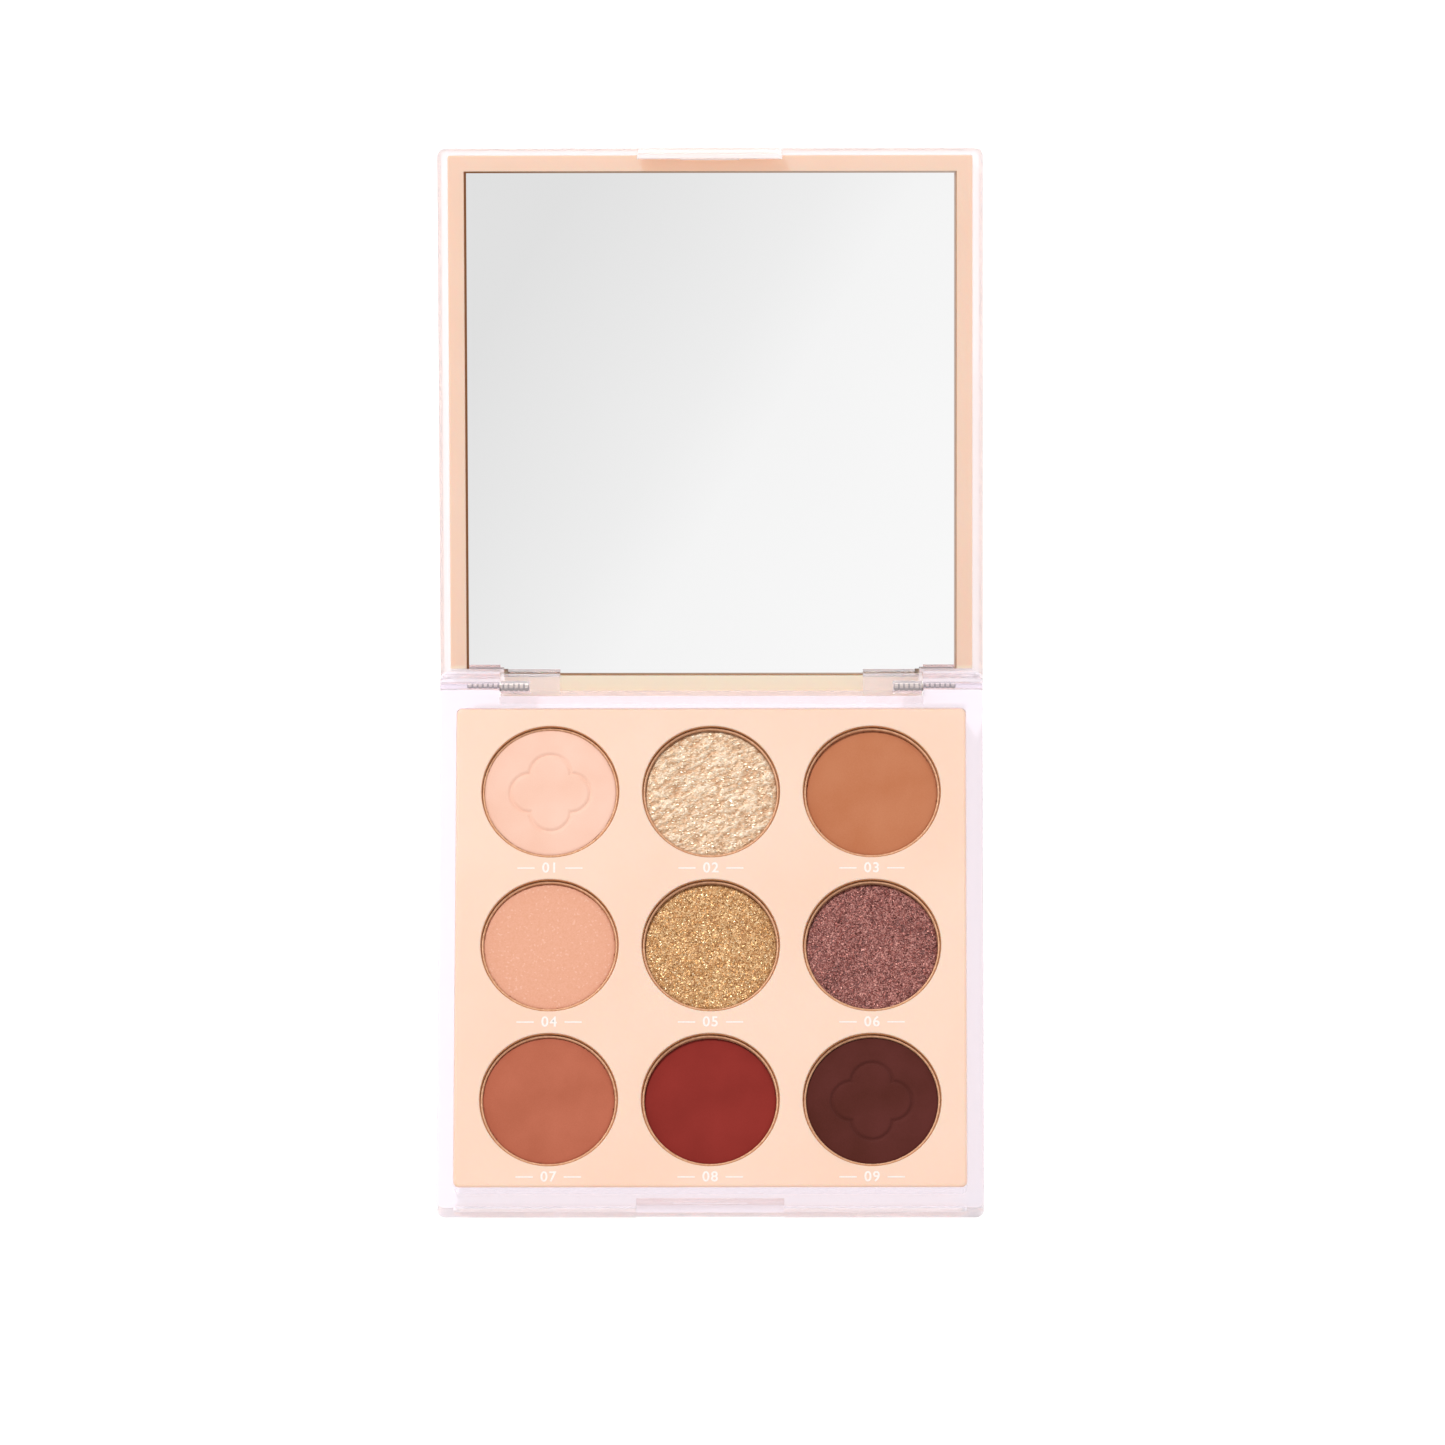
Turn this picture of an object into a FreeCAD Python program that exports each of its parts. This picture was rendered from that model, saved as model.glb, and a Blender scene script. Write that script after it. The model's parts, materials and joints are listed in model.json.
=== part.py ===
import FreeCAD, Part
import os
from FreeCAD import Vector

# Nine-pan eyeshadow palette in a clear hinged case with a mirror in the lid.
# Units are mm. X runs along the hinge, -Y is the front (thumb recess), +Y the hinge side,
# Z is up. The origin is the middle of the flat underside. The parts are written with
# the lid open against its stop; the lid is drawn shut and then swung open as a whole.

# ---- driving sizes ---------------------------------------------------------------
PAN_D = 26.0          # standard round eyeshadow pan
PAN_FIT = 0.15        # radial room between a pan and its pocket
PAN_H = 4.2
PAN_WALL = 0.5
PAN_SUNK = 0.7        # pan rim below the tray face
# how far each powder lies below its pan rim, pan 1 first
POWDER_SUNK = (0.1, 0.6, 0.7, 0.5, 0.7, 0.8, 0.4, 0.8, 0.4)
GRID_N = 3
LAND = 4.3            # tray face left between two pockets
MARGIN_SIDE = 4.75    # tray face outside the pockets
MARGIN_FRONT = 4.1
MARGIN_BACK = 3.5
POCKET_ROUND = 0.15   # softened mouth of each pocket

RIM_SIDE = 3.3        # clear band round the tray
RIM_FRONT = 3.9
RIM_BACK = 2.45
BASE_H = 8.0
BASE_FLOOR = 1.2
TRAY_FIT = 0.1        # play of the tray in the base well
TRAY_FACE = 1.2       # thickness of the tray face
TRAY_WALL = 1.0
POCKET_FLOOR = 0.9
PUSH_HOLE_D = 6.0
GLUE = 0.1            # adhesive layer

LID_H = 4.0
LID_GAP = 0.1         # between the closed lid and the base rim
LID_PLATE = 1.2
LID_WALL_SIDE = 1.9
LID_WALL_FRONT = 1.3
LID_WALL_BACK = 0.9
LID_WALL_EAR = 0.6    # lid wall beside and behind the ears
INSERT_FIT = 0.1      # play of the mirror frame in the lid
FRAME_BORDER = 3.0
FRAME_BACKING = 0.9
MIRROR_T = 0.9
MIRROR_FIT = 0.15
STEP_IN = 1.25        # corner step of the mirror: inside the barrel's end
STEP_S = 2.8          # and in front of the hinge axis

PIN_D = 1.6
PIN_LEN = 11.8
PIN_IN_EAR = 6.2      # the rest of the pin is in the lid barrel
PIN_PLAY = 0.05       # radial, in the lid knuckles
KNUCKLE_R = 2.2
KNUCKLE_W = 11.35
EAR_BEHIND = 2.8      # ear behind the hinge axis
EAR_ROUND = 1.2       # top back edge of the ears
SWEEP_CLEAR = 0.2     # between the rounded ear edge and the lid that swings past it
EAR_W = 11.4
SIDE_GAP = 0.15       # ear to knuckle
HINGE_CLEAR = 0.3     # barrel to the back wall of the base
OPEN_DEG = 150.0
STOP_GAP = 0.15

THUMB_W = 28.0
THUMB_D = 1.7
SILL_H = 3.0
TAB_T = 1.2
TAB_SET = 0.1         # tab face behind the front of the case
TAB_PLAY = 0.2
BEAD_R = 0.3          # snap bead, clear of the recess wall by 0.1
CORNER_R = 1.6
EDGE_R = 0.8
LABEL_X, LABEL_Y, LABEL_T = 60.0, 30.0, 0.1
LABEL_MID_Y = 24.0    # the label sits behind the middle of the underside

# ---- sizes that follow ------------------------------------------------------------
pocket_d = PAN_D + 2 * PAN_FIT
pitch = pocket_d + LAND
grid = (GRID_N - 1) * pitch + pocket_d
tray_x = grid + 2 * MARGIN_SIDE
tray_y = grid + MARGIN_FRONT + MARGIN_BACK
width = tray_x + 2 * RIM_SIDE
back_wall = KNUCKLE_R + HINGE_CLEAR                  # base back wall, in front of the axis
reach = RIM_FRONT + tray_y + RIM_BACK + back_wall    # front face to the hinge axis
depth = reach + EAR_BEHIND
y_front = -depth / 2
y_axis = y_front + reach
z_axis = BASE_H - KNUCKLE_R
tray_y0 = y_front + RIM_FRONT
tray_y1 = tray_y0 + tray_y
ear_in = width / 2 - EAR_W                           # inner face of each ear
knuckle_out = ear_in - SIDE_GAP
knuckle_in = knuckle_out - KNUCKLE_W
pan_z = BASE_H - PAN_SUNK - PAN_H
pocket_z = pan_z - GLUE
lid_z0 = BASE_H + LID_GAP
lid_z1 = BASE_H + LID_H
plate_z = lid_z1 - LID_PLATE
frame_z0 = lid_z0 + INSERT_FIT
ear_edge_r = ((EAR_BEHIND - EAR_ROUND) ** 2 + (KNUCKLE_R - EAR_ROUND) ** 2) ** 0.5 + EAR_ROUND
sweep_r = ear_edge_r + SWEEP_CLEAR                   # the lid keeps outside this beside the ears
backing_z = plate_z - FRAME_BACKING
mirror_z1 = backing_z - GLUE
mirror_z0 = mirror_z1 - MIRROR_T

out_dir = "parts"
os.makedirs(out_dir, exist_ok=True)


# ---- helpers ----------------------------------------------------------------------
def block(x0, x1, y0, y1, z0, z1):
    return Part.makeBox(x1 - x0, y1 - y0, z1 - z0, Vector(x0, y0, z0))


def rod(r, length, x0, y, z):
    """Cylinder along X."""
    return Part.makeCylinder(r, length, Vector(x0, y, z), Vector(1, 0, 0))


def disc(r, h, x, y, z):
    return Part.makeCylinder(r, h, Vector(x, y, z))


def fillet(shape, radius, pick):
    edges = [e for e in shape.Edges if pick(e)]
    return shape.makeFillet(radius, edges)


def upright(e):
    a, b = e.Vertexes[0].Point, e.Vertexes[-1].Point
    return abs(a.z - b.z) > 1e-3 and abs(a.x - b.x) < 1e-6 and abs(a.y - b.y) < 1e-6


def at_height(e, z):
    return all(abs(v.Point.z - z) < 1e-6 for v in e.Vertexes)


def rounded_block(x0, x1, y0, y1, z0, z1, r):
    return fillet(block(x0, x1, y0, y1, z0, z1), r, upright)


def both_sides(shape):
    """A shape on +X and its mirror image on -X."""
    return [shape, shape.mirror(Vector(0, 0, 0), Vector(1, 0, 0))]


def cut_all(shape, tools):
    for t in tools:
        shape = shape.cut(t)
    return shape


def fuse_all(shapes):
    out = shapes[0]
    for s in shapes[1:]:
        out = out.fuse(s)
    return out.removeSplitter()


def swing(shape):
    """Turn a shape of the closed lid about the hinge axis to the open stop."""
    s = shape.copy()
    s.rotate(Vector(0, y_axis, z_axis), Vector(1, 0, 0), -OPEN_DEG)
    return s


def save(shape, name):
    shape.exportStep(os.path.join(out_dir, name + ".step"))
    b = shape.optimalBoundingBox()
    print("%-16s %d solid(s) x %.1f..%.1f y %.1f..%.1f z %.2f..%.2f" % (
        name, len(shape.Solids), b.XMin, b.XMax, b.YMin, b.YMax, b.ZMin, b.ZMax))


def pan_centres():
    """Pan 1 is at the back on the left, pan 9 at the front on the right."""
    for n in range(GRID_N * GRID_N):
        row, col = divmod(n, GRID_N)
        x = (col - (GRID_N - 1) / 2) * pitch
        y = tray_y1 - MARGIN_BACK - pocket_d / 2 - row * pitch
        yield n + 1, x, y


def label_block(grow, z0):
    x, y = LABEL_X / 2 + grow, LABEL_Y / 2 + grow
    return rounded_block(-x, x, LABEL_MID_Y - y, LABEL_MID_Y + y, z0, 2 * LABEL_T, 2.0)


# ---- base shell ---------------------------------------------------------------------
def make_base():
    body = rounded_block(-width / 2, width / 2, y_front, y_axis + EAR_BEHIND, 0, BASE_H, CORNER_R)
    body = fillet(body, EDGE_R, lambda e: at_height(e, 0))
    # the lid barrels work in the notch between the two ears
    notch = block(-ear_in, ear_in, y_axis - back_wall, y_axis + EAR_BEHIND + 1, -1, BASE_H + 1)
    body = body.cut(notch)
    # round the top back edge of the ears so the lid can swing past it
    body = fillet(body, EAR_ROUND, lambda e: at_height(e, BASE_H) and e.Length < EAR_W and all(
        abs(v.Point.y - (y_axis + EAR_BEHIND)) < 1e-4 for v in e.Vertexes))
    well = rounded_block(-tray_x / 2 - TRAY_FIT, tray_x / 2 + TRAY_FIT, tray_y0 - TRAY_FIT,
                         tray_y1 + TRAY_FIT, BASE_FLOOR, BASE_H + 1, 1.1 + TRAY_FIT)
    thumb = block(-THUMB_W / 2, THUMB_W / 2, y_front - 1, y_front + THUMB_D, SILL_H, BASE_H + 1)
    lip = block(-THUMB_W / 2, THUMB_W / 2, y_front - 1, y_front + 0.3, -1, SILL_H)
    groove = rod(BEAD_R, THUMB_W * 0.5, -THUMB_W * 0.25, y_front + THUMB_D, SILL_H + 1.5)
    label = label_block(0.5, -1)
    body = cut_all(body, [well, thumb, lip, groove, label])
    bore = rod(PIN_D / 2, EAR_W + 1, ear_in - 0.5, y_axis, z_axis)
    return cut_all(body, both_sides(bore))


def make_hinge_pins():
    pin = rod(PIN_D / 2, PIN_LEN, ear_in + PIN_IN_EAR - PIN_LEN, y_axis, z_axis)
    pin = pin.makeChamfer(0.2, [e for e in pin.Edges if len(e.Vertexes) == 1])
    return Part.makeCompound(both_sides(pin))


# ---- tray and pans --------------------------------------------------------------------
def make_tray():
    body = rounded_block(-tray_x / 2, tray_x / 2, tray_y0, tray_y1, BASE_FLOOR, BASE_H, 1.1)
    body = fillet(body, 0.5, lambda e: at_height(e, BASE_H))
    hollow = rounded_block(-tray_x / 2 + TRAY_WALL, tray_x / 2 - TRAY_WALL, tray_y0 + TRAY_WALL,
                           tray_y1 - TRAY_WALL, BASE_FLOOR - 1, BASE_H - TRAY_FACE, 0.6)
    body = body.cut(hollow)
    cups = [disc(pocket_d / 2 + TRAY_WALL, BASE_H - TRAY_FACE / 2 - pocket_z + POCKET_FLOOR,
                 x, y, pocket_z - POCKET_FLOOR) for n, x, y in pan_centres()]
    body = fuse_all([body] + cups)
    for n, x, y in pan_centres():
        body = body.cut(disc(pocket_d / 2, BASE_H, x, y, pocket_z))
        body = body.cut(disc(PUSH_HOLE_D / 2, BASE_H, x, y, 0))
    # soften the mouth of each pocket
    return fillet(body, POCKET_ROUND, lambda e: at_height(e, BASE_H) and hasattr(e.Curve, "Radius")
                  and abs(e.Curve.Radius - pocket_d / 2) < 1e-6)


def make_pan(x, y):
    cup = disc(PAN_D / 2, PAN_H, x, y, pan_z)
    cup = fillet(cup, 0.6, lambda e: at_height(e, pan_z) and len(e.Vertexes) == 1)
    cup = cup.cut(disc(PAN_D / 2 - PAN_WALL, PAN_H, x, y, pan_z + PAN_WALL))
    return fillet(cup, 0.2, lambda e: at_height(e, pan_z + PAN_H) and len(e.Vertexes) == 1)


def make_powder(n, x, y):
    sunk = POWDER_SUNK[(n - 1) % len(POWDER_SUNK)]
    return disc(PAN_D / 2 - PAN_WALL, PAN_H - PAN_WALL - sunk, x, y, pan_z + PAN_WALL)


def make_pan_adhesive():
    return Part.makeCompound([disc(PAN_D / 2 - 2.5, GLUE, x, y, pocket_z)
                              .cut(disc(PUSH_HOLE_D / 2, 1, x, y, pocket_z - 0.5))
                              for n, x, y in pan_centres()])


def make_base_label():
    return label_block(0, LABEL_T)


# ---- lid (drawn shut) --------------------------------------------------------------------
# s is the distance in front of the hinge axis, as in y = y_axis - s
def ear_cut(offset, radius, x_in):
    """What a lid part gives up beside each ear: everything behind the plane that comes to
    lie against the back of the ear at the open stop, and the sweep of the ear's edge."""
    slab = block(x_in, width, -40, offset, -60, 60)
    # in the slab +y is the outward normal of the plane, turned to the closed position
    slab.rotate(Vector(0, 0, 0), Vector(1, 0, 0), 180 - OPEN_DEG)
    slab = slab.mirror(Vector(0, 0, 0), Vector(0, 1, 0))
    slab.translate(Vector(0, y_axis, z_axis))
    front = block(-width, width, y_axis - 8, y_axis + 20, lid_z0 - 3, lid_z1 + 1)
    slab = slab.common(front)
    return both_sides(slab.fuse(rod(radius, width, x_in, y_axis, z_axis)))


def lid_outline(inset_side, inset_front, s_back, z0, z1, r):
    return rounded_block(-width / 2 + inset_side, width / 2 - inset_side,
                         y_front + inset_front, y_axis - s_back, z0, z1, r)


def make_lid():
    s_back = -KNUCKLE_R
    body = lid_outline(0, 0, s_back, lid_z0, lid_z1, CORNER_R)
    y_back = y_axis - s_back
    body = fillet(body, 2.0, lambda e: at_height(e, lid_z1) and e.Length > width / 2
                  and all(abs(v.Point.y - y_back) < 1e-4 for v in e.Vertexes))
    body = cut_all(body, ear_cut(EAR_BEHIND + STOP_GAP, sweep_r, knuckle_out))
    wall = LID_WALL_BACK
    hollow = lid_outline(LID_WALL_SIDE, LID_WALL_FRONT, s_back + wall, lid_z0 - 1, plate_z, 0.6)
    thin = LID_WALL_EAR
    hollow = cut_all(hollow, ear_cut(EAR_BEHIND + STOP_GAP + thin, sweep_r + thin,
                                     knuckle_out - thin))
    body = body.cut(hollow)
    # barrels under the back edge, carried by a web as wide as the barrel
    barrel = rod(KNUCKLE_R, KNUCKLE_W, knuckle_in, y_axis, z_axis)
    web = block(knuckle_in, knuckle_out, y_axis - KNUCKLE_R, y_axis + KNUCKLE_R, z_axis,
                lid_z0 + 0.5)
    inner = block(knuckle_in - 1, knuckle_out + 1, y_front, y_axis + KNUCKLE_R - wall,
                  lid_z0, lid_z1)
    body = fuse_all([body] + both_sides(barrel.fuse(web.cut(inner))))
    deep = PIN_LEN - PIN_IN_EAR - SIDE_GAP + 0.2
    bore = rod(PIN_D / 2 + PIN_PLAY, KNUCKLE_W, knuckle_out - deep, y_axis, z_axis)
    body = cut_all(body, both_sides(bore))
    # closing tab with its snap bead
    y0 = y_front + TAB_SET
    tab = block(-THUMB_W / 2 + TAB_PLAY, THUMB_W / 2 - TAB_PLAY, y0, y0 + TAB_T,
                SILL_H + 0.4, lid_z0 + 0.5)
    tab = fillet(tab, 0.4, lambda e: at_height(e, SILL_H + 0.4) or (
        upright(e) and abs(e.Vertexes[0].Point.y - y0) < 1e-6))
    bead = rod(BEAD_R, THUMB_W * 0.4, -THUMB_W * 0.2, y0 + TAB_T, SILL_H + 1.5)
    return fuse_all([body, tab, bead])


def mirror_window(grow, z0, z1, step_s=STEP_S):
    """The opening for the mirror, with a step beside each ear."""
    side = LID_WALL_SIDE + INSERT_FIT + FRAME_BORDER - grow
    front = LID_WALL_FRONT + INSERT_FIT + FRAME_BORDER - grow
    s_back = -KNUCKLE_R + LID_WALL_BACK + FRAME_BORDER - grow
    win = block(-width / 2 + side, width / 2 - side, y_front + front, y_axis - s_back, z0, z1)
    step = block(knuckle_out - STEP_IN + grow, width, y_axis - step_s + grow, y_axis + 5, z0 - 1, z1 + 1)
    return cut_all(win, both_sides(step))


def make_mirror_frame():
    back = -KNUCKLE_R + LID_WALL_BACK + INSERT_FIT
    body = lid_outline(LID_WALL_SIDE + INSERT_FIT, LID_WALL_FRONT + INSERT_FIT, back,
                       frame_z0, plate_z, 0.5)
    clear = LID_WALL_EAR + INSERT_FIT
    body = cut_all(body, ear_cut(EAR_BEHIND + STOP_GAP + clear, sweep_r + clear,
                                 knuckle_out - clear))
    # beside the ears the frame has no border, so its window runs on past the mirror
    body = body.cut(mirror_window(0, frame_z0 - 1, backing_z, 0))
    return body


def make_mirror():
    return mirror_window(-MIRROR_FIT, mirror_z0, mirror_z1)


def make_mirror_adhesive():
    return mirror_window(-4.0, mirror_z1, backing_z)


save(make_base(), "base_shell")
save(make_hinge_pins(), "hinge_pins")
save(make_tray(), "pan_tray")
for num, px, py in pan_centres():
    save(make_pan(px, py), "pan_%d" % num)
    save(make_powder(num, px, py), "powder_%d" % num)
save(make_pan_adhesive(), "pan_adhesive")
save(make_base_label(), "base_label")
save(swing(make_lid()), "lid_shell")
save(swing(make_mirror_frame()), "mirror_frame")
save(swing(make_mirror()), "mirror")
save(swing(make_mirror_adhesive()), "mirror_adhesive")
print("axis y %.2f z %.2f  case %.1f x %.1f x %.1f closed" % (
    y_axis, z_axis, width, depth, BASE_H + LID_H))
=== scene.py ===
# %% [markdown]
# # An eyeshadow palette, finished in Blender
# The object is a flat hinged case of clear plastic. The base holds a peach tray with nine
# round metal pans of pressed powder; the lid holds a mirror in a peach frame. CAD has
# already fixed every size and the hinge, so this lesson only adds what the eye needs:
# the finish of each plastic, the grain and shimmer of each powder, the knurling of the
# hinge pins and the small printed numbers. Lengths are in metres, and one function turns
# millimetres into metres so that the numbers below can be read as a maker would say them.

# %% Load the case as a fixed frame
import json
import math

import bpy
import numpy as np
from mathutils import Matrix, Vector


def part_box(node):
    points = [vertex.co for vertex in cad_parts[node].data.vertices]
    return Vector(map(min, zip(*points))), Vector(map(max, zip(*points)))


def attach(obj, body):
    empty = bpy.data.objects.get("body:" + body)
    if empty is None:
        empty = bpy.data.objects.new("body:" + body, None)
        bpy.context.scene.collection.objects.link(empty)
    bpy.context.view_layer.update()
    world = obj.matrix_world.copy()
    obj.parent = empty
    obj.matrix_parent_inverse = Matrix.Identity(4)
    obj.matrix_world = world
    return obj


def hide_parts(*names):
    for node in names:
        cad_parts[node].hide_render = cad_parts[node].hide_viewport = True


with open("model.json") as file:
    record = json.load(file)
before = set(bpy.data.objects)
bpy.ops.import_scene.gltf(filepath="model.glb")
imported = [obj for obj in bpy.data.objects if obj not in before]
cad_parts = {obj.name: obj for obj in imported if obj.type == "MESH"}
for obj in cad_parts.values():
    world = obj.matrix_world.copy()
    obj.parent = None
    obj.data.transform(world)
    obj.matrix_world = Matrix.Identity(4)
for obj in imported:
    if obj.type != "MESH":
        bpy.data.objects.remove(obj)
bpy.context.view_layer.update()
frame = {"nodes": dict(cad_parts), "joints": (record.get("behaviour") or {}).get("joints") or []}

nodes = frame["nodes"]
scene = bpy.context.scene


def mm(value):
    return value / 1000.0


# %% [markdown]
# ## Colours and small helpers
# Colour pickers give sRGB numbers, but shaders add up light in linear numbers. One
# function turns a hex value into linear. A second adds any node with its settings and
# links, and a third links results to a node that is there, so each material stays short.


# %% Helpers for colours, nodes and meshes
def lin(hex_code):
    """Linear RGBA from an sRGB hex value."""
    parts = [int(hex_code[i:i + 2], 16) / 255 for i in (0, 2, 4)]
    return [c / 12.92 if c <= 0.04045 else ((c + 0.055) / 1.055) ** 2.4 for c in parts] + [1.0]


def add(tree, kind, settings=None, **sockets):
    """Adds a node. Socket names use _ for a space; a value may be a number or another socket."""
    node = tree.nodes.new(kind)
    settings = dict(settings or {})
    stops = settings.pop("stops", [])
    for key, value in settings.items():
        setattr(node, key, value)
    while stops and len(node.color_ramp.elements) < len(stops):
        node.color_ramp.elements.new(0.5)
    for element, (at, hex_code) in zip(node.color_ramp.elements if stops else [], stops):
        element.position, element.color = at, lin(hex_code)
    for key, value in sockets.items():
        name = key.replace("_", " ")
        socket = node.inputs[int(key[1:])] if key[0] == "i" and key[1:].isdigit() else node.inputs[name]
        if isinstance(value, bpy.types.NodeSocket):
            tree.links.new(value, socket)
        else:
            socket.default_value = value
    return node


def feed(node, **sockets):
    """Links results to the inputs of a node that is already there, named with _ for a space."""
    for key, value in sockets.items():
        node.id_data.links.new(value, node.inputs[key.replace("_", " ")])


def new_material(name, **settings):
    """A Principled material with constants set on its own sockets."""
    mat = bpy.data.materials.new(name)
    mat.use_nodes = True
    tree = mat.node_tree
    shader = tree.nodes["Principled BSDF"]
    for key, value in settings.items():
        shader.inputs[key.replace("_", " ")].default_value = value
    return mat, tree, shader


def place(tree, centre=(0, 0, 0), turn=0.0, stretch=(1, 1, 1), lean=0.0):
    """Object coordinates in millimetres, measured from a centre, turned, leaned and stretched."""
    at = add(tree, "ShaderNodeTexCoord").outputs["Object"]
    moved = add(tree, "ShaderNodeVectorMath", {"operation": "SUBTRACT"}, i0=at, i1=centre)
    return add(tree, "ShaderNodeMapping", Vector=moved.outputs[0], Rotation=(lean, 0, turn),
               Scale=[1000.0 * s for s in stretch]).outputs[0]


def dress(name, mat):
    """Gives a CAD node a finish, leaving its shape alone."""
    for slot in nodes[name].material_slots:
        slot.material = mat
    print(name, "->", mat.name)


def mesh_object(name, verts, faces, mat, smooth=True):
    mesh = bpy.data.meshes.new(name)
    mesh.from_pydata([tuple(map(float, v)) for v in verts], [], faces)
    mesh.materials.append(mat)
    mesh.polygons.foreach_set("use_smooth", [smooth] * len(mesh.polygons))
    obj = bpy.data.objects.new(name, mesh)
    scene.collection.objects.link(obj)
    return obj


# %% [markdown]
# ## The camera
# The palette is seen from in front and well above, through a long lens from about three
# metres, so its sides stay almost parallel. The aim point sits near the hinge, a little
# to the right of the middle, and the camera is turned by a degree and a half about its
# own axis so that the front edge lies level.

# %% Camera
hinge = Vector(frame["joints"][0]["pos_m"])
AIM = Vector((0.0, mm(43.30), mm(5.0)))
SHIFT_RIGHT, SHIFT_UP = mm(2.12), mm(0.42)
AZIMUTH, ELEVATION, ROLL = math.radians(1.69), math.radians(71.92), math.radians(1.66)
DISTANCE = mm(3000)
LENS, SENSOR = 391.6, 36.0
back = Vector((math.sin(AZIMUTH) * math.cos(ELEVATION), -math.cos(AZIMUTH) * math.cos(ELEVATION),
               math.sin(ELEVATION)))
right = Vector((math.cos(AZIMUTH), math.sin(AZIMUTH), 0))
up = back.cross(right)
across = right * math.cos(ROLL) - up * math.sin(ROLL)
upward = right * math.sin(ROLL) + up * math.cos(ROLL)
aim = AIM + across * SHIFT_RIGHT + upward * SHIFT_UP

camera = bpy.data.objects.new("camera", bpy.data.cameras.new("camera"))
camera.data.lens, camera.data.sensor_width = LENS, SENSOR
camera.data.clip_start, camera.data.clip_end = 0.1, 20.0
camera.matrix_world = Matrix.Translation(aim + back * DISTANCE) @ Matrix(
    (across, upward, back)).transposed().to_4x4()
scene.collection.objects.link(camera)
scene.camera = camera
print("camera at", [round(c, 3) for c in camera.location])

# %% [markdown]
# ## Floor and light
# The case lies on white, with light from all round and one lamp behind its left shoulder.
# The all-round light keeps the clear plastic clean and is dimmer overhead, so flat faces
# don't burn out; the lamp throws the short shadows that show how deep each pan sits. A
# flat card stands where the mirror looks, because a mirror only ever shows what is in
# front of it: its soft grey gradient is what makes the glass read as glass.

# %% Floor, world, lamp and the card the mirror looks at
scene.view_settings.view_transform = "Standard"
scene.view_settings.look = "None"
# thick clear walls pass light on many times before it leaves, so paths may be long
scene.cycles.max_bounces = 24
scene.cycles.transparent_max_bounces = 40
scene.cycles.glossy_bounces = 14
scene.cycles.transmission_bounces = 18
scene.cycles.caustics_reflective = scene.cycles.caustics_refractive = False

SKY_LEVEL, SKY_DROP = 0.99, 0.52
world = bpy.data.worlds.new("studio")
scene.world = world
world.use_nodes = True
tree = world.node_tree
way = add(tree, "ShaderNodeSeparateXYZ", Vector=add(tree, "ShaderNodeTexCoord").outputs["Generated"])
climb = add(tree, "ShaderNodeMath", {"operation": "MAXIMUM"}, i0=way.outputs["Z"], i1=0.0)
dim = add(tree, "ShaderNodeMath", {"operation": "MULTIPLY_ADD"}, i0=climb.outputs[0], i1=-SKY_DROP,
          i2=SKY_LEVEL)
sky = tree.nodes["Background"]
sky.inputs["Color"].default_value = lin("FFFEFE")
feed(sky, Strength=dim.outputs[0])

paper_white, tree, shader = new_material("floor_white_card", Roughness=0.9,
                                         Emission_Color=lin("FFFFFF"), Emission_Strength=0.82)
speck = add(tree, "ShaderNodeTexNoise", Vector=place(tree), Scale=0.05, Detail=3.0)
paper = add(tree, "ShaderNodeValToRGB", {"stops": [(0.3, "9E9E9E"), (0.7, "A2A2A2")]},
            Fac=speck.outputs[0])
feed(shader, Base_Color=paper.outputs[0])
FLOOR_HALF, FLOOR_Z = 4.0, mm(-0.1)
SQUARE = ((-1, -1), (1, -1), (1, 1), (-1, 1))
floor = mesh_object("floor", [(sx * FLOOR_HALF, sy * FLOOR_HALF, FLOOR_Z) for sx, sy in SQUARE],
                    [(0, 1, 2, 3)], paper_white, smooth=False)


def lamp(name, toward, distance, size, watts):
    """A square lamp some way off the middle of the open case, turned to face it."""
    light = bpy.data.lights.new(name, "AREA")
    light.shape, light.size, light.energy = "SQUARE", size, watts
    obj = bpy.data.objects.new(name, light)
    way = Vector(toward).normalized()
    obj.matrix_world = Matrix.Translation(Vector((0, mm(40), 0)) + way * distance) @ (
        way.to_track_quat("Z", "Y").to_matrix().to_4x4())
    scene.collection.objects.link(obj)
    return obj


key = lamp("key_back_left", (-0.25, 0.47, 0.85), 1.6, 0.14, 12.6)

mirror_glass = nodes["mirror"]
lo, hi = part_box("mirror")
middle = (Vector(lo) + Vector(hi)) / 2
lean = math.radians(30)
facing = Vector((0, -math.sin(lean), math.cos(lean)))
slope = Vector((0, math.cos(lean), math.sin(lean)))
look = -back
bounce = look - 2 * look.dot(facing) * facing
CARD_AWAY, CARD_HALF = 0.5, 0.25
CARD_SPAN_X, CARD_SPAN_Z = 0.0072, -0.0066        # share of the gradient per mm
CARD_FADE = 115.0, 240.0                          # mm from its middle
card_middle = middle + bounce * CARD_AWAY
card_mat = bpy.data.materials.new("card_grey_gradient")
card_mat.use_nodes = True
tree = card_mat.node_tree
tree.nodes.clear()
spot = place(tree, centre=card_middle)
parts = add(tree, "ShaderNodeSeparateXYZ", Vector=spot)
along = add(tree, "ShaderNodeMath", {"operation": "MULTIPLY_ADD"}, i0=parts.outputs["X"], i1=CARD_SPAN_X,
            i2=0.5)
diagonal = add(tree, "ShaderNodeMath", {"operation": "MULTIPLY_ADD"}, i0=parts.outputs["Z"], i1=CARD_SPAN_Z,
               i2=along.outputs[0])
greys = [(0.0, "E4E4E4"), (0.4, "F1F1F1"), (0.55, "F8F8F8"), (1.0, "FCFCFC")]
grey = add(tree, "ShaderNodeValToRGB", {"stops": greys}, Fac=diagonal.outputs[0])
glow = add(tree, "ShaderNodeEmission", Color=grey.outputs[0], Strength=1.0)
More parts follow.
